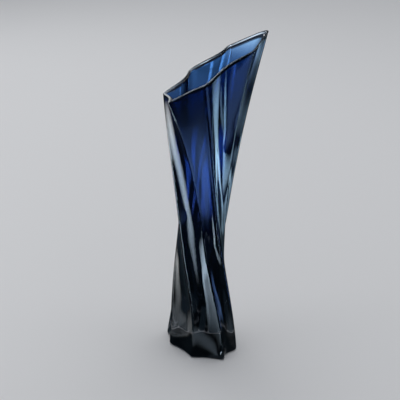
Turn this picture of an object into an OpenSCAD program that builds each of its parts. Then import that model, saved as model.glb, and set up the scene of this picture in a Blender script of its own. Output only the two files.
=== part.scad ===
// Twisted, pleated crystal column trophy.
// The foot stands on z = 0 and the twist axis is +Z through the origin.
// The high tip of the slanted rim points towards +X.

/* [Body] */
// Height of the rim plane where it crosses the axis
rim_height = 292; // [260:1:320]
// Rise of the rim plane for each millimetre towards +X
rim_slope_x = 0.53; // [0.3:0.01:0.65]
// Rise of the rim plane for each millimetre towards +Y
rim_slope_y = 0.1; // [0:0.01:0.2]
// Place of the waist between the foot (0) and the rim (1)
waist_at = 0.45; // [0.4:0.01:0.5]
// Girth of every section against the drawn one
girth = 1; // [0.9:0.01:1.1]
// Largest turn, in degrees, that the pleats hold back above the foot before they twist
foot_hold = 6; // [0:1:8]

/* [Wall] */
// Thickness of the clear crystal at the rim
rim_wall = 1.8; // [1.5:0.1:2.4]
// Thickness of the clear crystal at the waist
waist_wall = 3.6; // [2.5:0.1:4.5]
// Thickness of the blue inner layer
liner_wall = 1; // [0.6:0.1:1.4]
// Clear lip left above the edge of the blue layer
lip_depth = 1.5; // [1:0.1:4]
// Height of the lowest point of the hollow above the table
hollow_floor = 48; // [40:1:70]

/* [Foot] */
// Thickness of the pad under the crystal
pad_thickness = 1; // [0.8:0.1:2]
// Thickness of the adhesive film between pad and crystal
film_thickness = 0.2; // [0.1:0.05:0.4]
// Distance of the pad's edge inside the crystal's edge
pad_inset = 1.5; // [1:0.1:3]

/* [Resolution] */
// Rings from the foot to the waist
lower_rings = 12; // [8:1:16]
// Rings from the waist to the rim
upper_rings = 16; // [10:1:20]
// Rings in the round end of the hollow
dome_rings = 8; // [6:1:12]
// Segments in the curve of each pleat corner
corner_steps = 4; // [2:1:6]

/* [Hidden] */

// Each pleat corner runs the height of the body through three sections, counterclockwise.
// Columns: [radius, angle] at the foot, at the waist and at the rim, then the softness of the
// corner: the share of each side that its curve takes up, from 0 for a knife edge. The softness
// of two corners in a row stays under 1 in all.
CORNERS = [
    [[39, 254], [33.5, 232], [38, 181], 0.20],    // crest at the low tip
    [[38.5, 278], [26.5, 253], [38, 217], 0.40],  // notch beside the low tip
    [[48.5, 298], [27.5, 275], [45, 224], 0.12],  // crest at the front left
    [[39, 308], [28, 291], [33, 251], 0.50],      // hollow of the front panel
    [[43, 331], [33.5, 303], [36, 278], 0.30],    // crest at the front
    [[30, 374], [22.5, 332], [27, 331], 0.40],    // step behind the front crest
    [[37.5, 414], [25, 372], [51, 347], 0.08],    // crest at the front right
    [[32, 436], [27, 382], [54.5, 360], 0.30],    // notch beside the high tip
    [[43, 456], [38.5, 398], [75, 380], 0.60],    // crest at the high tip
    [[34, 486], [25, 426], [50, 402], 0.35],      // hollow of the back right panel
    [[42, 514], [32, 463], [44.5, 415], 0.30],    // crest at the back
    [[34, 536], [26, 482], [34, 418], 0.30],      // step beside the back crest
    [[35, 556], [29, 507], [30, 474], 0.25],      // crest at the back left
    [[30, 586], [21.5, 548], [19.5, 512], 0.40],  // step beside the back left crest
    [[33, 602], [25, 574], [32.5, 536], 0.30],    // back corner of the low tip
];

foot_top = pad_thickness + film_thickness;
lip_at = 1 - lip_depth / rim_height;
floor_at = (hollow_floor - foot_top) / (rim_height - foot_top);
liner_floor_at = floor_at + liner_wall / (rim_height - foot_top);
corner_count = len(CORNERS);
ring_size = corner_count * (corner_steps + 1);

// Value at height share s of a quadratic through the foot, waist and rim values
function through(foot, waist, rim, s) =
    foot * (s - waist_at) * (s - 1) / waist_at
    + waist * s * (1 - s) / (waist_at * (1 - waist_at))
    + rim * s * (s - waist_at) / (1 - waist_at);

// Share of foot_hold at height share s: none at the foot, all of it a third of the way up to
// the waist, none from the waist on. The factor 27/4 makes the peak of u * (1 - u)^2 equal to 1.
function hold_share(s) =
    let (u = s / waist_at)
    u < 1 ? 27 / 4 * u * (1 - u) * (1 - u) : 0;

// Place of one pleat corner at height share s
function corner(row, s) =
    let (radius = girth * through(row[0][0], row[1][0], row[2][0], s))
    let (angle = through(row[0][1], row[1][1], row[2][1], s) + foot_hold * hold_share(s))
    [radius * cos(angle), radius * sin(angle)];

function unit(v) = v / norm(v);
function left_of(v) = [-v.y, v.x];

// Closed outline moved inwards by one distance on every side
function inset(points, distance) =
    let (n = len(points))
    [for (i = [0:n - 1])
        let (before = left_of(unit(points[i] - points[(i + n - 1) % n])))
        let (after = left_of(unit(points[(i + 1) % n] - points[i])))
        points[i] + distance * (before + after) / (1 + before * after)];

// Closed outline with each corner drawn as a curve between its two sides
function softened(points) =
    let (n = len(points))
    [for (i = [0:n - 1])
        let (soft = CORNERS[i][3])
        let (from = points[i] + soft * (points[(i + n - 1) % n] - points[i]))
        let (to = points[i] + soft * (points[(i + 1) % n] - points[i]))
        for (k = [0:corner_steps])
            let (t = k / corner_steps)
            (1 - t) * (1 - t) * from + 2 * t * (1 - t) * points[i] + t * t * to];

// Outline at height share s, a given depth under the outer surface
function section(s, depth) = softened(inset([for (row = CORNERS) corner(row, s)], depth));

function crystal_wall(s) = rim_wall + (waist_wall - rim_wall) * (1 - s) / (1 - waist_at);
function rim_z(p) = rim_height + rim_slope_x * p.x + rim_slope_y * p.y;

// One ring of the loft: the section scaled by shrink, on a plane that leans more towards the rim
function ring(s, depth, rim_depth, shrink) =
    let (flat = section(s, depth), rim = section(1, rim_depth))
    [for (j = [0:ring_size - 1])
        [shrink * flat[j].x, shrink * flat[j].y, foot_top + s * (rim_z(rim[j]) - foot_top)]];

// Rings of the outer surface, from the foot to the rim
outer_stations = concat(
    [for (i = [0:lower_rings]) waist_at * i / lower_rings],
    [for (i = [1:upper_rings]) waist_at + (1 - waist_at) * i / upper_rings]);
outer_rings = [for (s = outer_stations) each ring(s, 0, 0, 1)];

// Stations of the hollow, as [height share, shrink]: a round end, then the wall up to the lip
function hollow_stations(bottom) = concat(
    [for (i = [1:dome_rings])
        let (turn = 90 * i / dome_rings)
        [waist_at - (waist_at - bottom) * cos(turn), sin(turn)]],
    [for (i = [1:upper_rings]) [waist_at + (lip_at - waist_at) * i / upper_rings, 1]]);

function hollow_rings(stations, extra) =
    [for (st = stations)
        each ring(st[0], crystal_wall(st[0]) + extra, rim_wall + extra, st[1])];

function pole(s) = [0, 0, foot_top + s * (rim_height - foot_top)];

// Triangles between ring a and the ring above it, seen from outside
function band(first) =
    [for (j = [0:ring_size - 1])
        let (k = (j + 1) % ring_size)
        each [[first + j, first + ring_size + j, first + ring_size + k],
              [first + j, first + ring_size + k, first + k]]];

// Triangles between two rings that face upwards, from the outer one to the inner one
function annulus(outer, inner) =
    [for (j = [0:ring_size - 1])
        let (k = (j + 1) % ring_size)
        each [[outer + j, inner + j, inner + k], [outer + j, inner + k, outer + k]]];

// Triangles from a ring to one point under it
function fan(first, tip) =
    [for (j = [0:ring_size - 1]) [first + j, first + (j + 1) % ring_size, tip]];

function flipped(faces) = [for (f = faces) [f[2], f[1], f[0]]];

// Clear crystal: pleated and twisted outside, hollow from the rim down, solid in the foot
module crystal_body() {
    stations = concat(hollow_stations(floor_at), [[1, 1]]);
    outer_count = len(outer_stations);
    inner_first = outer_count * ring_size;
    inner_count = len(stations);
    poles = inner_first + inner_count * ring_size;
    points = concat(outer_rings, hollow_rings(stations, 0), [pole(0), pole(floor_at)]);
    faces = concat(
        fan(0, poles),
        [for (i = [0:outer_count - 2]) each band(i * ring_size)],
        annulus((outer_count - 1) * ring_size, inner_first + (inner_count - 1) * ring_size),
        [for (i = [0:inner_count - 2]) each flipped(band(inner_first + i * ring_size))],
        flipped(fan(inner_first, poles + 1)));
    color([0.72, 0.77, 0.84, 0.5]) polyhedron(points, faces, convexity = 10);
}

// Blue inner layer, fused to the wall of the hollow and closed at the bottom
module blue_liner() {
    outside = hollow_stations(floor_at);
    inside = hollow_stations(liner_floor_at);
    count = len(outside);
    inner_first = count * ring_size;
    poles = 2 * count * ring_size;
    points = concat(
        hollow_rings(outside, 0),
        hollow_rings(inside, liner_wall),
        [pole(floor_at), pole(liner_floor_at)]);
    faces = concat(
        fan(0, poles),
        [for (i = [0:count - 2]) each band(i * ring_size)],
        annulus((count - 1) * ring_size, inner_first + (count - 1) * ring_size),
        [for (i = [0:count - 2]) each flipped(band(inner_first + i * ring_size))],
        flipped(fan(inner_first, poles + 1)));
    color([0.08, 0.2, 0.5, 0.8]) polyhedron(points, faces, convexity = 10);
}

module foot_layer(bottom, thickness) {
    translate([0, 0, bottom])
        linear_extrude(thickness)
            polygon(section(0, pad_inset));
}

// Clear film that holds the pad to the crystal
module pad_adhesive() {
    color([0.85, 0.87, 0.88]) foot_layer(pad_thickness, film_thickness);
}

// Soft grey pad that the trophy stands on
module foot_pad() {
    color([0.16, 0.17, 0.18]) foot_layer(0, pad_thickness);
}

crystal_body();
blue_liner();
pad_adhesive();
foot_pad();
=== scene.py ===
import math

import bpy
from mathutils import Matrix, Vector


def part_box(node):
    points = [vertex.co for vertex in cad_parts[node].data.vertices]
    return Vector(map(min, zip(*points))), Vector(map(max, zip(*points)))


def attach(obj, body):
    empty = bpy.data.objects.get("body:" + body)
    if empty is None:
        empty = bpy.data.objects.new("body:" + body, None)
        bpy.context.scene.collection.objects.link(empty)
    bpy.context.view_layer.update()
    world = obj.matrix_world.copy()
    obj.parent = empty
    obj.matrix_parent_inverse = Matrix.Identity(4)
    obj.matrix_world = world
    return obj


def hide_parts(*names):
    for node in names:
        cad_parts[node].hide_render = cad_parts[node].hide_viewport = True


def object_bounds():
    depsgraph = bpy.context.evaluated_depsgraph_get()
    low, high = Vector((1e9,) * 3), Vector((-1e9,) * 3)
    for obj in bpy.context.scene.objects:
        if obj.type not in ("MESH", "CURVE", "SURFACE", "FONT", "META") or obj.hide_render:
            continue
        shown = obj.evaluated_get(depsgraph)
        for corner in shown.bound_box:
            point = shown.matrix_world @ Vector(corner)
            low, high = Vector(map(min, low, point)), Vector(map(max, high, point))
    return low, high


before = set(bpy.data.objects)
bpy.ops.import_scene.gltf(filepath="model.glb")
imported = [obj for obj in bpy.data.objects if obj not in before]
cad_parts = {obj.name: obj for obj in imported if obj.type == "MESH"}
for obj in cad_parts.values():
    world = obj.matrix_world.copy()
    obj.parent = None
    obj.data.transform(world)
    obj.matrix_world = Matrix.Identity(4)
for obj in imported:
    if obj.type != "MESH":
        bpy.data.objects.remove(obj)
cad_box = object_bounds()

MM = 0.001

# ---------------------------------------------------------------------------
# Camera
# ---------------------------------------------------------------------------

CAMERA_DISTANCE = 1.1
CAMERA_ELEVATION = math.radians(23)
AIM_HEIGHT_SHARE = 0.489    # of the object's height
AIM_X = -0.0018
SENSOR_WIDTH = 36           # millimetres
FOCAL_LENGTH = 99           # millimetres


def make_camera():
    data = bpy.data.cameras.new("camera")
    data.sensor_width = SENSOR_WIDTH
    data.lens = FOCAL_LENGTH
    camera = bpy.data.objects.new("camera", data)
    bpy.context.collection.objects.link(camera)
    aim = Vector((AIM_X, 0, AIM_HEIGHT_SHARE * cad_box[1][2]))
    away = Vector((0, -math.cos(CAMERA_ELEVATION), math.sin(CAMERA_ELEVATION)))
    camera.location = aim + CAMERA_DISTANCE * away
    camera.rotation_euler = (math.pi / 2 - CAMERA_ELEVATION, 0, 0)
    bpy.context.scene.camera = camera


# ---------------------------------------------------------------------------
# Shape of the crystal, as the design has it, in millimetres
# ---------------------------------------------------------------------------

RIM_HEIGHT = 292
RIM_SLOPE = (0.53, 0.1)
WAIST_AT = 0.45
FOOT_HOLD = 6
RIM_WALL = 1.8
WAIST_WALL = 3.6
LINER_WALL = 1
LIP_DEPTH = 1.5
HOLLOW_FLOOR = 48

# Pleat corners: [radius, angle] at the foot, the waist and the rim, then softness
CORNERS = [
    [[39, 254], [33.5, 232], [38, 181], 0.20],    # crest at the low tip
    [[38.5, 278], [26.5, 253], [38, 217], 0.40],  # notch beside the low tip
    [[48.5, 298], [27.5, 275], [45, 224], 0.12],  # crest at the front left
    [[39, 308], [28, 291], [33, 251], 0.50],      # hollow of the front panel
    [[43, 331], [33.5, 303], [36, 278], 0.30],    # crest at the front
    [[30, 374], [22.5, 332], [27, 331], 0.40],    # step behind the front crest
    [[37.5, 414], [25, 372], [51, 347], 0.08],    # crest at the front right
    [[32, 436], [27, 382], [54.5, 360], 0.30],    # notch beside the high tip
    [[43, 456], [38.5, 398], [75, 380], 0.60],    # crest at the high tip
    [[34, 486], [25, 426], [50, 402], 0.35],      # hollow of the back right panel
    [[42, 514], [32, 463], [44.5, 415], 0.30],    # crest at the back
    [[34, 536], [26, 482], [34, 418], 0.30],      # step beside the back crest
    [[35, 556], [29, 507], [30, 474], 0.25],      # crest at the back left
    [[30, 586], [21.5, 548], [19.5, 512], 0.40],  # step beside the back left crest
    [[33, 602], [25, 574], [32.5, 536], 0.30],    # back corner of the low tip
]

CORNER_STEPS = 8        # along the curve of each pleat corner
SIDE_STEPS = 4          # along the straight between two corners
OUTER_RINGS = 96        # up the outside of the crystal
HOLLOW_RINGS = 48       # from the waist up to the lip, inside
DOME_RINGS = 24         # in the round end of the hollow
ARRIS_STEPS = 3         # in the rounding of an edge
ARRIS = 0.35            # rounding of the cut rim
FOOT_ARRIS = 0.6        # rounding of the foot's edge
UNDERSIDE_INSET = 2.4   # of the first ring of the underside from the foot's edge
GLASS_GAP = 0.06        # keeps the two glass surfaces from sharing one plane
FUSED = "fused"         # face attribute: 1 where a face is fused to the layer beside it, else 0

FOOT_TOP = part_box("crystal_body")[0][2] / MM
LIP_AT = 1 - LIP_DEPTH / RIM_HEIGHT
FLOOR_AT = (HOLLOW_FLOOR - FOOT_TOP) / (RIM_HEIGHT - FOOT_TOP)
LINER_FLOOR_AT = FLOOR_AT + LINER_WALL / (RIM_HEIGHT - FOOT_TOP)


def through(foot, waist, rim, s):
    """Value at height share s of a quadratic through the foot, waist and rim values."""
    return (foot * (s - WAIST_AT) * (s - 1) / WAIST_AT
            + waist * s * (1 - s) / (WAIST_AT * (1 - WAIST_AT))
            + rim * s * (s - WAIST_AT) / (1 - WAIST_AT))


def hold_share(s):
    """Share of FOOT_HOLD at height share s: none at the foot and from the waist on.

    The factor 27/4 makes the peak of u * (1 - u)^2 equal to 1.
    """
    u = min(s / WAIST_AT, 1)
    return 27 / 4 * u * (1 - u) ** 2


def corner(row, s):
    """Place of one pleat corner at height share s."""
    radius = through(row[0][0], row[1][0], row[2][0], s)
    turn = through(row[0][1], row[1][1], row[2][1], s) + FOOT_HOLD * hold_share(s)
    angle = math.radians(turn)
    return Vector((radius * math.cos(angle), radius * math.sin(angle)))


def inset(points, distance):
    """Closed outline moved inwards by one distance on every side."""
    moved = []
    for i, point in enumerate(points):
        along = (point - points[i - 1]).normalized()
        onward = (points[(i + 1) % len(points)] - point).normalized()
        before = Vector((-along.y, along.x))
        after = Vector((-onward.y, onward.x))
        moved.append(point + distance * (before + after) / (1 + before.dot(after)))
    return moved


def softened(points):
    """Closed outline with curved corners, and steps along each straight side."""
    outline = []
    for i, point in enumerate(points):
        soft = CORNERS[i][3]
        before = points[i - 1]
        after = points[(i + 1) % len(points)]
        start = point + soft * (before - point)
        end = point + soft * (after - point)
        for k in range(CORNER_STEPS + 1):
            t = k / CORNER_STEPS
            outline.append((1 - t) ** 2 * start + 2 * t * (1 - t) * point + t * t * end)
        next_soft = CORNERS[(i + 1) % len(points)][3]
        far = after + next_soft * (point - after)
        for k in range(1, SIDE_STEPS):
            outline.append(end.lerp(far, k / SIDE_STEPS))
    return outline


def section(s, depth):
    """Outline at height share s, a given depth under the outer surface."""
    return softened(inset([corner(row, s) for row in CORNERS], depth))


def crystal_wall(s):
    """Thickness of the clear crystal at height share s."""
    return RIM_WALL + (WAIST_WALL - RIM_WALL) * (1 - s) / (1 - WAIST_AT)


def rim_z(point):
    """Height of the slanted rim plane over a point."""
    return RIM_HEIGHT + RIM_SLOPE[0] * point.x + RIM_SLOPE[1] * point.y


def ring(s, depth, rim_depth, shrink=1.0, drop=0.0):
    """Points of one ring of the loft, in metres; drop lowers the ring in millimetres."""
    flat = section(s, depth)
    rim = section(1, rim_depth)
    points = []
    for here, top in zip(flat, rim):
        z = FOOT_TOP + s * (rim_z(top) - FOOT_TOP) - drop
        points.append(Vector((shrink * here.x, shrink * here.y, z)) * MM)
    return points


def quarter_turn(steps):
    """(sine, cosine) at equal steps of a quarter turn, both ends included."""
    turns = [math.pi / 2 * i / steps for i in range(steps + 1)]
    return [(math.sin(turn), math.cos(turn)) for turn in turns]


def hollow_stations(bottom):
    """(height share, shrink) of the hollow's rings: the round end, then the wall."""
    dome = [(WAIST_AT - (WAIST_AT - bottom) * cosine, sine)
            for sine, cosine in quarter_turn(DOME_RINGS)[1:]]
    wall = [(WAIST_AT + (LIP_AT - WAIST_AT) * i / HOLLOW_RINGS, 1)
            for i in range(1, HOLLOW_RINGS + 1)]
    return dome + wall


def pole(s):
    """Point on the axis at height share s, in metres."""
    return Vector((0, 0, FOOT_TOP + s * (RIM_HEIGHT - FOOT_TOP))) * MM


def skin_mesh(name, rings, first_pole, last_pole, bonded):
    """A closed mesh through a run of rings, with a pole at each end of the run.

    The faces from each ring number in bonded to the next ring, or to the last pole, are fused
    to the layer beside them. Those from the first pole to ring 0 count with ring 0.
    """
    size = len(rings[0])
    last = len(rings) - 1
    start_pole = len(rings) * size
    end_pole = start_pole + 1
    faces = []
    ring_of_face = []
    for j in range(size):
        faces.append((start_pole, (j + 1) % size, j))
        ring_of_face.append(0)
    for i in range(last):
        low = i * size
        for j in range(size):
            k = (j + 1) % size
            faces.append((low + j, low + k, low + size + k, low + size + j))
            ring_of_face.append(i)
    for j in range(size):
        faces.append((last * size + j, last * size + (j + 1) % size, end_pole))
        ring_of_face.append(last)
    vertices = [tuple(point) for points in rings for point in points]
    mesh = bpy.data.meshes.new(name)
    mesh.from_pydata(vertices + [tuple(first_pole), tuple(last_pole)], [], faces)
    mesh.polygons.foreach_set("use_smooth", [True] * len(faces))
    fused = mesh.attributes.new(FUSED, "FLOAT", "FACE")
    fused.data.foreach_set("value", [float(i in bonded) for i in ring_of_face])
    mesh.update()
    return mesh


def add_piece(name, mesh, material, node):
    piece = bpy.data.objects.new(name, mesh)
    bpy.context.collection.objects.link(piece)
    mesh.materials.append(material)
    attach(piece, "root")
    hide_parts(node)


def crystal_rings():
    """Outer surface from the foot up, over the cut rim and down the hollow."""
    rings = [ring(0, UNDERSIDE_INSET, 0, drop=GLASS_GAP)]
    for sine, cosine in quarter_turn(ARRIS_STEPS):
        lift = FOOT_ARRIS * (1 - cosine)
        rings.append(ring(0, FOOT_ARRIS * (1 - sine), 0, drop=GLASS_GAP - lift))
    first = 2 * FOOT_ARRIS / RIM_HEIGHT    # clear of the rounding of the foot's edge
    last = 1 - ARRIS / RIM_HEIGHT          # where the rounding of the rim starts
    for i in range(OUTER_RINGS + 1):
        rings.append(ring(first + (last - first) * i / OUTER_RINGS, 0, 0))
    for sine, cosine in quarter_turn(ARRIS_STEPS)[1:]:
        depth = ARRIS * (1 - cosine)
        rings.append(ring(1, depth, depth, drop=ARRIS * (1 - sine)))
    for sine, cosine in quarter_turn(ARRIS_STEPS):
        depth = RIM_WALL - ARRIS * (1 - sine)
        rings.append(ring(1, depth, depth, drop=ARRIS * (1 - cosine)))
    for s, shrink in reversed(hollow_stations(FLOOR_AT)):
        rings.append(ring(s, crystal_wall(s), RIM_WALL, shrink))
    return rings


def liner_rings():
    """Outer face of the blue layer from its round end up, then its inner face back down."""
    rings = []
    for s, shrink in hollow_stations(FLOOR_AT):
        rings.append(ring(s, crystal_wall(s) + GLASS_GAP, RIM_WALL + GLASS_GAP, shrink))
    inner_depth = RIM_WALL + LINER_WALL
    for s, shrink in reversed(hollow_stations(LINER_FLOOR_AT)):
        rings.append(ring(s, crystal_wall(s) + LINER_WALL, inner_depth, shrink))
    return rings


# ---------------------------------------------------------------------------
# Materials
# ---------------------------------------------------------------------------

GLASS_IOR = 1.52
FILM_IOR = 1.05       # against the crystal that the film is bonded to
PAINTED_SHADE_DENSITY = 22    # absorption of the clear crystal, per metre; it is painted shade that darkens the glass as if dark surroundings showed through


def new_material(name):
    """A material with its nodes, its links and its Principled shader."""
    material = bpy.data.materials.new(name)
    material.use_nodes = True
    nodes = material.node_tree.nodes
    return material, nodes, material.node_tree.links, nodes["Principled BSDF"]


def height_ramp(nodes, links, stops):
    """Colour by height above the table, from (height in metres, colour) stops."""
    top = cad_box[1][2]
    place = nodes.new("ShaderNodeTexCoord")
    split = nodes.new("ShaderNodeSeparateXYZ")
    share = nodes.new("ShaderNodeMath")
    share.operation = "DIVIDE"
    share.inputs[1].default_value = top
    ramp = nodes.new("ShaderNodeValToRGB")
    ramp.color_ramp.interpolation = "EASE"
    links.new(place.outputs["Object"], split.inputs[0])
    links.new(split.outputs["Z"], share.inputs[0])
    links.new(share.outputs[0], ramp.inputs[0])
    elements = ramp.color_ramp.elements
    while len(elements) < len(stops):
        elements.new(0.5)
    for element, (height, colour) in zip(elements, stops):
        element.position = height / top
        element.color = (*colour, 1)
    return ramp.outputs[0]


def hand_made_surface(nodes, links, shader, scale, strength):
    """The slow waviness of a hand-finished glass surface."""
    place = nodes.new("ShaderNodeTexCoord")
    wave = nodes.new("ShaderNodeTexNoise")
    wave.inputs["Scale"].default_value = scale
    wave.inputs["Detail"].default_value = 1.5
    bump = nodes.new("ShaderNodeBump")
    bump.inputs["Strength"].default_value = strength
    bump.inputs["Distance"].default_value = 0.001
    links.new(place.outputs["Object"], wave.inputs["Vector"])
    links.new(wave.outputs["Fac"], bump.inputs["Height"])
    links.new(bump.outputs[0], shader.inputs["Normal"])


def fused_glass(material, nodes, links, shader, tint):
    """Glass, but with no surface of its own where it is fused to the layer beside it.

    There it only tints the light that passes.
    """
    mark = nodes.new("ShaderNodeAttribute")
    mark.attribute_name = FUSED
    clear = nodes.new("ShaderNodeBsdfTransparent")
    mix = nodes.new("ShaderNodeMixShader")
    links.new(tint, clear.inputs["Color"])
    links.new(mark.outputs["Fac"], mix.inputs[0])
    links.new(shader.outputs[0], mix.inputs[1])
    links.new(clear.outputs[0], mix.inputs[2])
    links.new(mix.outputs[0], nodes["Material Output"].inputs["Surface"])


def crystal_material():
    material, nodes, links, shader = new_material("clear_crystal")
    shader.inputs["Transmission Weight"].default_value = 1
    shader.inputs["IOR"].default_value = GLASS_IOR
    shader.inputs["Roughness"].default_value = 0.012
    shader.inputs["Specular Tint"].default_value = (0.60, 0.78, 1.0, 1)
    # Painted shade: the grey stops from 40 to 110 mm darken the lower body as if dark
    # surroundings showed through it.
    colour = height_ramp(nodes, links, [
        (0.015, (0.99, 0.99, 1.00)),
        (0.040, (0.46, 0.47, 0.51)),
        (0.110, (0.50, 0.53, 0.60)),
        (0.190, (0.56, 0.66, 0.82)),
        (0.300, (0.56, 0.68, 0.84)),
    ])
    links.new(colour, shader.inputs["Base Color"])
    hand_made_surface(nodes, links, shader, scale=16, strength=0.03)
    bond = height_ramp(nodes, links, [(0.0, (0.97, 0.97, 0.98)), (0.3, (0.96, 0.98, 1.0))])
    fused_glass(material, nodes, links, shader, bond)
    # Painted shade: this smoke absorption darkens the clear crystal as if dark surroundings
    # showed through it.
    painted_shade = nodes.new("ShaderNodeVolumeAbsorption")
    painted_shade.inputs["Color"].default_value = (0.0, 0.03, 0.08, 1)
    painted_shade.inputs["Density"].default_value = PAINTED_SHADE_DENSITY
    links.new(painted_shade.outputs[0], nodes["Material Output"].inputs["Volume"])
    return material


def blue_material():
    material, nodes, links, shader = new_material("blue_glass")
    shader.inputs["Transmission Weight"].default_value = 1
    shader.inputs["IOR"].default_value = GLASS_IOR
    shader.inputs["Roughness"].default_value = 0.01
    face = height_ramp(nodes, links, [(0.05, (0.90, 0.91, 0.94)), (0.30, (0.80, 0.88, 0.97))])
    links.new(face, shader.inputs["Base Color"])
    hand_made_surface(nodes, links, shader, scale=20, strength=0.03)
    tint = height_ramp(nodes, links, [
        (0.050, (0.62, 0.64, 0.70)),
        (0.100, (0.36, 0.39, 0.50)),
        (0.140, (0.14, 0.20, 0.40)),
        (0.195, (0.11, 0.20, 0.44)),
        (0.250, (0.055, 0.12, 0.30)),
        (0.295, (0.06, 0.17, 0.40)),
        (0.325, (0.34, 0.54, 0.76)),
    ])
    fused_glass(material, nodes, links, shader, tint)
    return material


def film_material():
    material, nodes, links, shader = new_material("adhesive_film")
    grain = nodes.new("ShaderNodeTexNoise")
    grain.inputs["Scale"].default_value = 900
    ramp = nodes.new("ShaderNodeValToRGB")
    ramp.color_ramp.elements[0].color = (0.88, 0.90, 0.92, 1)
    ramp.color_ramp.elements[1].color = (0.96, 0.97, 0.98, 1)
    links.new(grain.outputs["Fac"], ramp.inputs[0])
    links.new(ramp.outputs[0], shader.inputs["Base Color"])
    shader.inputs["Transmission Weight"].default_value = 1
    shader.inputs["IOR"].default_value = FILM_IOR
    shader.inputs["Roughness"].default_value = 0.2
    return material


def pad_material():
    material, nodes, links, shader = new_material("grey_pad")
    place = nodes.new("ShaderNodeTexCoord")
    grain = nodes.new("ShaderNodeTexNoise")
    grain.inputs["Scale"].default_value = 1200
    grain.inputs["Detail"].default_value = 4
    ramp = nodes.new("ShaderNodeValToRGB")
    ramp.color_ramp.elements[0].color = (0.13, 0.14, 0.15, 1)
    ramp.color_ramp.elements[1].color = (0.19, 0.20, 0.21, 1)
    bump = nodes.new("ShaderNodeBump")
    bump.inputs["Strength"].default_value = 0.3
    bump.inputs["Distance"].default_value = 0.0002
    links.new(place.outputs["Object"], grain.inputs["Vector"])
    links.new(grain.outputs["Fac"], ramp.inputs[0])
    links.new(ramp.outputs[0], shader.inputs["Base Color"])
    links.new(grain.outputs["Fac"], bump.inputs["Height"])
    links.new(bump.outputs[0], shader.inputs["Normal"])
    shader.inputs["Roughness"].default_value = 0.6
    return material


def floor_material():
    material, _, _, shader = new_material("floor")
    shader.inputs["Base Color"].default_value = FLOOR_COLOUR
    shader.inputs["Roughness"].default_value = 0.5
    return material


# ---------------------------------------------------------------------------
# Stage and lights, in metres
# ---------------------------------------------------------------------------

FLOOR_HALF = 6.0
FLOOR_COLOUR = (0.78, 0.78, 0.79, 1)
WORLD_COLOUR = (0.7, 0.74, 0.8, 1)
WORLD_STRENGTH = 0.3

CARD_GAP = 1          # between the foot and the dark card, in millimetres
CARD_HEIGHT = 0.001
CARD_RADIUS = 3.5
CARD_RADIANCE = 0.05
FRONT_CARD_Y = -0.10
RIGHT_CARD_X = 0.12

RIBBON_HEIGHT = 0.002
RIBBON_COLUMNS = 8    # steps across a ribbon
RIBBON_ROWS = 8       # steps between two of its points
RIBBON_FADE = 6       # one part in this many fades out at each end of a ribbon

PALE = (1.0, 1.0, 0.97)
STEEL = (0.50, 0.77, 1.0)
BLUE = (0.33, 0.51, 1.0)
WHITE = (1, 1, 1)

# Glow seen through the glass from the sides: (distance from the axis, width, level)
CORE_GLOW = [(0.12, 0.04, 0), (0.25, 0.05, 0.3), (0.45, 0.07, 0.9), (0.65, 0.09, 1),
             (0.85, 0.11, 0.8), (1.05, 0.12, 0.4), (1.3, 0.12, 0.1), (1.5, 0.12, 0)]
CORE_GLOW_STEP = 45   # degrees from one glow to the next
STRAIGHT_BEHIND = 90  # the direction that back_glow takes


def make_floor():
    mesh = bpy.data.meshes.new("floor")
    corners = [(-FLOOR_HALF, -FLOOR_HALF, 0), (FLOOR_HALF, -FLOOR_HALF, 0),
               (FLOOR_HALF, FLOOR_HALF, 0), (-FLOOR_HALF, FLOOR_HALF, 0)]
    mesh.from_pydata(corners, [], [(0, 1, 2, 3)])
    mesh.materials.append(floor_material())
    floor = bpy.data.objects.new("floor", mesh)
    bpy.context.collection.objects.link(floor)


def area_light(name, place, aim, width, height, power):
    data = bpy.data.lights.new(name, "AREA")
    data.shape = "RECTANGLE"
    data.size = width
    data.size_y = height
    data.energy = power
    light = bpy.data.objects.new(name, data)
    light.location = place
    light.visible_camera = False
    light.rotation_euler = (Vector(aim) - Vector(place)).to_track_quat("-Z", "Y").to_euler()
    bpy.context.collection.objects.link(light)


def unseen_sheet(name, mesh, material):
    """A lamp or card that only the glass sees, and not the camera, the floor or the shadows."""
    mesh.materials.append(material)
    sheet = bpy.data.objects.new(name, mesh)
    bpy.context.collection.objects.link(sheet)
    sheet.visible_camera = False
    sheet.visible_diffuse = False
    sheet.visible_shadow = False
    return sheet


def lamp_material(name, colour):
    """A material that only emits light, and its emission node."""
    material = bpy.data.materials.new(name)
    material.use_nodes = True
    nodes = material.node_tree.nodes
    nodes.clear()
    lamp = nodes.new("ShaderNodeEmission")
    lamp.inputs["Color"].default_value = (*colour, 1)
    output = nodes.new("ShaderNodeOutputMaterial")
    material.node_tree.links.new(lamp.outputs[0], output.inputs["Surface"])
    return material, lamp


def make_dark_card():
    """The dark card round the foot that keeps the pale floor out of the glass."""
    foot = section(0, -CARD_GAP)
    steps = len(foot)
    vertices = [(p.x * MM, p.y * MM, CARD_HEIGHT) for p in foot]
    vertices += [(*(CARD_RADIUS * p.normalized()), CARD_HEIGHT) for p in foot]
    faces = [(i, (i + 1) % steps, steps + (i + 1) % steps, steps + i) for i in range(steps)]
    mesh = bpy.data.meshes.new("dark_card")
    mesh.from_pydata(vertices, [], faces)
    material, lamp = lamp_material("dark_card", STEEL)
    lamp.inputs["Strength"].default_value = CARD_RADIANCE
    unseen_sheet("dark_card", mesh, material)


def smooth_path(points):
    """Points along a Catmull-Rom curve through a few given places."""
    places = [Vector(p) for p in points]
    places = [2 * places[0] - places[1]] + places + [2 * places[-1] - places[-2]]
    path = []
    for i in range(1, len(places) - 2):
        a, b, c, d = places[i - 1:i + 3]
        for k in range(RIBBON_ROWS):
            t = k / RIBBON_ROWS
            path.append(0.5 * (2 * b + (c - a) * t + (2 * a - 5 * b + 4 * c - d) * t ** 2
                               + (3 * b - a - 3 * c + d) * t ** 3))
    return path + [places[-2]]


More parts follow.
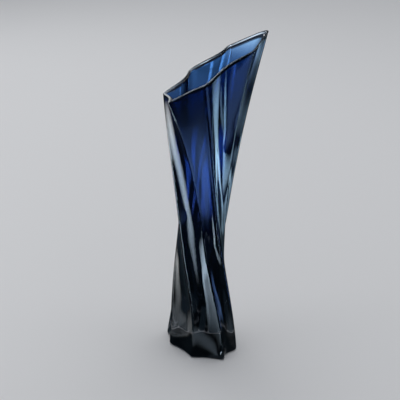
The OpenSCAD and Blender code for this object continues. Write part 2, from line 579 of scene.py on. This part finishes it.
def ribbon_material(name, radiance, colour):
    """Light whose strength follows the "level" attribute of its mesh."""
    material, lamp = lamp_material(name, colour)
    nodes = material.node_tree.nodes
    links = material.node_tree.links
    level = nodes.new("ShaderNodeAttribute")
    level.attribute_name = "level"
    strength = nodes.new("ShaderNodeMath")
    strength.operation = "MULTIPLY"
    strength.inputs[1].default_value = radiance
    links.new(level.outputs["Fac"], strength.inputs[0])
    links.new(strength.outputs[0], lamp.inputs["Strength"])
    return material


def on_floor(across, along):
    return (across, along, RIBBON_HEIGHT)


def in_front(across, up):
    return (across, FRONT_CARD_Y, up)


def at_right(along, up):
    return (RIGHT_CARD_X, along, up)


def light_ribbon(name, points, radiance, colour, plane=on_floor, mirrored=True, through=False):
    """A soft strip light laid along a curve on the floor or a standing plane.

    Each point is (first, second, width, level): its place on the plane and the width there in
    metres, and the share of the radiance. The light fades out towards the edges and the ends.
    It is mirrored in the glass, or seen through it, or both.
    """
    path = smooth_path([point[:3] for point in points])
    shares = smooth_path([(point[3], 0, 0) for point in points])
    last = len(path) - 1
    vertices = []
    levels = []
    for i, place in enumerate(path):
        ahead = path[min(i + 1, last)] - path[max(i - 1, 0)]
        side = Vector((-ahead.y, ahead.x, 0)).normalized()
        fade = min(1, RIBBON_FADE * i / len(path), RIBBON_FADE * (last - i) / len(path))
        for k in range(RIBBON_COLUMNS + 1):
            share = k / RIBBON_COLUMNS - 0.5
            spot = place + share * place.z * side
            vertices.append(plane(spot.x, spot.y))
            levels.append(max(0, shares[i].x) * fade * math.cos(math.pi * share))
    row = RIBBON_COLUMNS + 1
    faces = [(i * row + k, i * row + k + 1, (i + 1) * row + k + 1, (i + 1) * row + k)
             for i in range(last) for k in range(RIBBON_COLUMNS)]
    mesh = bpy.data.meshes.new(name)
    mesh.from_pydata(vertices, [], faces)
    mesh.attributes.new("level", "FLOAT", "POINT").data.foreach_set("value", levels)
    sheet = unseen_sheet(name, mesh, ribbon_material(name, radiance, colour))
    sheet.visible_glossy = mirrored
    sheet.visible_transmission = through


def make_studio_light():
    """The plain pale surroundings, a soft box overhead and a small one behind on the left."""
    world = bpy.data.worlds.new("studio")
    world.use_nodes = True
    background = world.node_tree.nodes["Background"]
    background.inputs["Color"].default_value = WORLD_COLOUR
    background.inputs["Strength"].default_value = WORLD_STRENGTH
    bpy.context.scene.world = world
    area_light("overhead", (0, 0.7, 2.1), (0, 0.5, 0), width=2.8, height=2.4, power=34)
    area_light("rim_box", (-0.62, 1.32, 0.72), (0, 0, 0.28), width=0.5, height=0.4, power=1.4)


def make_front_ribbons():
    """The streaks and glows that the front faces mirror."""
    light_ribbon("left_ribbon", [
        (-0.50, 0.55, 0.22, 0.7), (-0.60, 0.30, 0.26, 0.8), (-0.62, 0.05, 0.26, 0.9),
        (-0.57, -0.14, 0.28, 1), (-0.44, -0.29, 0.24, 1), (-0.31, -0.38, 0.20, 1),
        (-0.19, -0.42, 0.16, 1), (-0.10, -0.41, 0.15, 0.8), (-0.03, -0.405, 0.14, 0.6),
        (0.02, -0.38, 0.12, 0.4), (0.04, -0.34, 0.09, 0.3), (0.045, -0.30, 0.06, 0.1)], 10, PALE)
    light_ribbon("ridge_ribbon", [
        (-0.12, -0.275, 0.02, 0.3), (-0.10, -0.275, 0.025, 0.6), (-0.063, -0.258, 0.03, 1),
        (-0.035, -0.25, 0.03, 0.9), (-0.017, -0.222, 0.03, 0.55), (-0.005, -0.192, 0.03, 0.3),
        (-0.005, -0.165, 0.03, 0.15), (-0.01, -0.13, 0.04, 0.1)], 11, PALE)
    light_ribbon("foot_glow", [
        (-0.07, 0.03, 0.03, 0.7), (-0.065, -0.01, 0.03, 1), (-0.055, -0.045, 0.03, 1),
        (-0.02, -0.09, 0.06, 1), (0.03, -0.10, 0.07, 1), (0.07, -0.07, 0.06, 0.8),
        (0.10, -0.02, 0.05, 0.6)], 1, PALE)
    light_ribbon("ridge_glow", [
        (0.20, -0.28, 0.06, 0.6), (0.28, -0.20, 0.08, 1), (0.27, -0.10, 0.08, 1),
        (0.20, -0.02, 0.08, 0.8), (0.12, 0.02, 0.06, 0.5)], 3, BLUE)
    light_ribbon("front_card", [
        (0.01, 0.10, 0.02, 0), (0.01, 0.112, 0.02, 0.2), (0.005, 0.125, 0.035, 0.4),
        (-0.002, 0.138, 0.055, 0.6), (-0.010, 0.15, 0.07, 0.75), (-0.012, 0.163, 0.08, 0.8),
        (-0.012, 0.175, 0.08, 0.8), (-0.012, 0.19, 0.08, 0.6), (-0.015, 0.205, 0.08, 0.35),
        (-0.02, 0.22, 0.08, 0.15), (-0.02, 0.24, 0.08, 0.06), (-0.02, 0.26, 0.08, 0.04),
        (-0.02, 0.29, 0.08, 0)], 4.5, BLUE, in_front)


def make_right_ribbons():
    """The streaks and glows that the faces on the right mirror."""
    light_ribbon("right_card", [
        (0.10, 0.165, 0.04, 0.2), (0.092, 0.18, 0.05, 0.3), (0.083, 0.195, 0.056, 0.3),
        (0.082, 0.21, 0.056, 0.15), (0.082, 0.225, 0.056, 0.05), (0.082, 0.24, 0.056, 0.15),
        (0.082, 0.255, 0.056, 0.25), (0.082, 0.27, 0.056, 0.6), (0.082, 0.29, 0.056, 0.8)],
        3, STEEL, at_right)
    light_ribbon("panel_card", [
        (-0.26, 0.195, 0.06, 0.8), (-0.20, 0.205, 0.06, 1), (-0.15, 0.215, 0.07, 1),
        (-0.11, 0.217, 0.07, 1), (-0.08, 0.212, 0.06, 1), (-0.055, 0.198, 0.04, 1),
        (-0.03, 0.184, 0.02, 1), (-0.01, 0.176, 0.016, 0.9), (0.01, 0.168, 0.016, 0.7)],
        1.7, BLUE, at_right)
    light_ribbon("right_ribbon", [
        (0.92, 0.05, 0.16, 0.8), (0.82, 0.20, 0.16, 1), (0.71, 0.30, 0.14, 1),
        (0.61, 0.35, 0.12, 1), (0.53, 0.37, 0.11, 1), (0.46, 0.365, 0.11, 1),
        (0.41, 0.345, 0.10, 1), (0.34, 0.335, 0.09, 0.8), (0.29, 0.30, 0.06, 0.5),
        (0.24, 0.28, 0.05, 0.35), (0.17, 0.275, 0.04, 0.2), (0.10, 0.26, 0.05, 0.6)], 5.5, STEEL)
    light_ribbon("right_fill", [
        (0.80, 0.05, 0.14, 0.7), (0.70, 0.09, 0.16, 1), (0.62, 0.05, 0.14, 1),
        (0.58, -0.02, 0.10, 0.8)], 2.2, STEEL)
    light_ribbon("step_ribbon", [
        (0.76, -0.30, 0.14, 1), (0.66, -0.17, 0.16, 1), (0.58, -0.07, 0.15, 1),
        (0.50, 0.05, 0.11, 1), (0.42, 0.15, 0.09, 0.75), (0.34, 0.22, 0.08, 0.4),
        (0.28, 0.25, 0.06, 0.2)], 7, STEEL)
    light_ribbon("panel_fill", [
        (0.60, -0.48, 0.14, 1), (0.48, -0.33, 0.16, 1.3), (0.41, -0.22, 0.14, 1.3),
        (0.42, -0.05, 0.08, 0.9), (0.40, 0.08, 0.06, 0.6)], 1.8, BLUE)


def make_rear_ribbons():
    """A streak that the left of the foot mirrors, and the light seen through the glass."""
    light_ribbon("left_foot_ribbon", [
        (-0.22, 0.24, 0.04, 0.7), (-0.20, 0.16, 0.05, 1), (-0.19, 0.09, 0.05, 0.8),
        (-0.16, 0.04, 0.04, 0.6), (-0.13, 0, 0.03, 0.5), (-0.09, -0.01, 0.03, 0.5),
        (-0.06, -0.02, 0.02, 0.4)], 1.8, PALE)
    light_ribbon("back_sheet", [
        (-0.40, 0.95, 0.6, 0.7), (-0.20, 0.95, 0.6, 0.6), (-0.05, 0.95, 0.6, 0.6),
        (0, 1, 0.6, 0.4), (0.05, 1.08, 0.6, 0.8), (0.10, 1.18, 0.6, 1.3),
        (0.20, 1.25, 0.6, 1.4), (0.40, 1.25, 0.6, 1.3), (0.70, 1.1, 0.6, 1.3),
        (1, 0.9, 0.6, 1)], 1.1, WHITE, through=True)
    light_ribbon("back_line", [
        (0.036, 0.75, 0.03, 1), (0.04, 0.95, 0.03, 1), (0.044, 1.2, 0.03, 1)],
        3, WHITE, through=True)
    light_ribbon("back_glow", [
        (0.01, 0.28, 0.05, 1), (0.01, 0.40, 0.06, 1), (0, 0.52, 0.06, 1),
        (0, 0.66, 0.04, 1)], 2, PALE, through=True)


def make_core_glows():
    """A glow in every direction but straight behind, so that the glass isn't black from there."""
    for step in range(1, 360 // CORE_GLOW_STEP):
        turn = math.radians(STRAIGHT_BEHIND + CORE_GLOW_STEP * step)
        points = [(away * math.cos(turn), away * math.sin(turn), width, level)
                  for away, width, level in CORE_GLOW]
        light_ribbon("core_glow_%d" % step, points, 1.6, PALE, mirrored=False, through=True)


# ---------------------------------------------------------------------------
# The object
# ---------------------------------------------------------------------------

def make_crystal():
    """The clear column, fused to the film under the foot and to the blue layer in the hollow."""
    rings = crystal_rings()
    under = Vector((0, 0, FOOT_TOP - GLASS_GAP)) * MM
    hollow_start = len(rings) - len(hollow_stations(FLOOR_AT))
    bonded = {0, *range(hollow_start, len(rings))}
    mesh = skin_mesh("crystal_column", rings, under, pole(FLOOR_AT), bonded)
    add_piece("crystal_column", mesh, crystal_material(), "crystal_body")


def make_blue_layer():
    """The blue layer, fused to the crystal all over its outer face."""
    bonded = range(len(hollow_stations(FLOOR_AT)) - 1)
    mesh = skin_mesh("blue_layer", liner_rings(), pole(FLOOR_AT), pole(LINER_FLOOR_AT), bonded)
    add_piece("blue_layer", mesh, blue_material(), "blue_liner")


def finish_cad_pieces():
    """The pad and its film keep their CAD meshes and get better materials."""
    for node, material in (("pad_adhesive", film_material()), ("foot_pad", pad_material())):
        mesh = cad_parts[node].data
        mesh.materials.clear()
        mesh.materials.append(material)


GLASS_BOUNCES = 32          # a ray crosses many glass faces
TRANSPARENT_BOUNCES = 48    # the fused faces count as transparent

make_camera()
make_crystal()
make_blue_layer()
finish_cad_pieces()
make_floor()
make_dark_card()
make_studio_light()
make_front_ribbons()
make_right_ribbons()
make_rear_ribbons()
make_core_glows()

bpy.context.scene.cycles.max_bounces = GLASS_BOUNCES
bpy.context.scene.cycles.transmission_bounces = GLASS_BOUNCES
bpy.context.scene.cycles.transparent_max_bounces = TRANSPARENT_BOUNCES
bpy.context.scene.view_settings.view_transform = "Standard"
